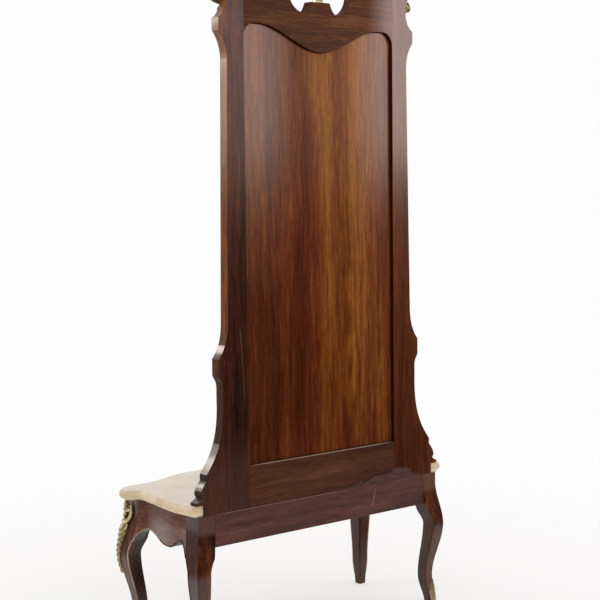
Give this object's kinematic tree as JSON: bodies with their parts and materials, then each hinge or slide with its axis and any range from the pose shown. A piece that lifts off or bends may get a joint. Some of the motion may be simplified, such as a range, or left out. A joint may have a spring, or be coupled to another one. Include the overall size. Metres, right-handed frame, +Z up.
{
  "type": "console table with mirror",
  "caption": "Low marble-topped console table on cabriole legs with gilt-bronze mounts, with a tall framed mirror standing on its back edge.",
  "frame": {"origin": "on the floor, in the middle of the part's plan", "axes": "+Z up, -Y towards the room that the mirror faces, +Y the plain back, +X to the right of someone who looks into the mirror"},
  "size_m": [0.988, 0.4446, 2.0283],
  "materials": {
    "polished_mahogany": "dark red-brown French polish",
    "mahogany_back_board": "thin polish on plain boards",
    "plain_pine": "bare sawn softwood",
    "cream_marble": "polished",
    "silvered_glass": "silvered plate glass",
    "gilt_bronze": "cast, chased and gilded, worn"
  },
  "bodies": {
    "root": {"rear_left_leg": "polished_mahogany", "rear_right_leg": "polished_mahogany", "front_left_leg": "polished_mahogany", "front_right_leg": "polished_mahogany", "back_rail": "polished_mahogany", "left_side_apron": "polished_mahogany", "right_side_apron": "polished_mahogany", "front_apron": "polished_mahogany", "left_stile": "polished_mahogany", "right_stile": "polished_mahogany", "top_rail": "polished_mahogany", "bottom_rail": "polished_mahogany", "back_panel": "mahogany_back_board", "dowel_1": "mahogany_back_board", "dowel_2": "mahogany_back_board", "dowel_3": "mahogany_back_board", "dowel_4": "mahogany_back_board", "left_bearer": "plain_pine", "right_bearer": "plain_pine", "left_rear_rail_glue_block": "plain_pine", "left_rear_side_glue_block": "plain_pine", "left_front_side_glue_block": "plain_pine", "left_front_apron_glue_block": "plain_pine", "right_rear_rail_glue_block": "plain_pine", "right_rear_side_glue_block": "plain_pine", "right_front_side_glue_block": "plain_pine", "right_front_apron_glue_block": "plain_pine", "marble_top": "cream_marble", "mirror_glass": "silvered_glass", "rear_left_shoe": "gilt_bronze", "rear_right_shoe": "gilt_bronze", "front_left_shoe": "gilt_bronze", "front_right_shoe": "gilt_bronze", "front_left_knee_mount": "gilt_bronze", "front_right_knee_mount": "gilt_bronze", "apron_mount": "gilt_bronze", "left_corner_mount": "gilt_bronze", "right_corner_mount": "gilt_bronze", "crest_ornament": "gilt_bronze"}
  },
  "joints": []
}
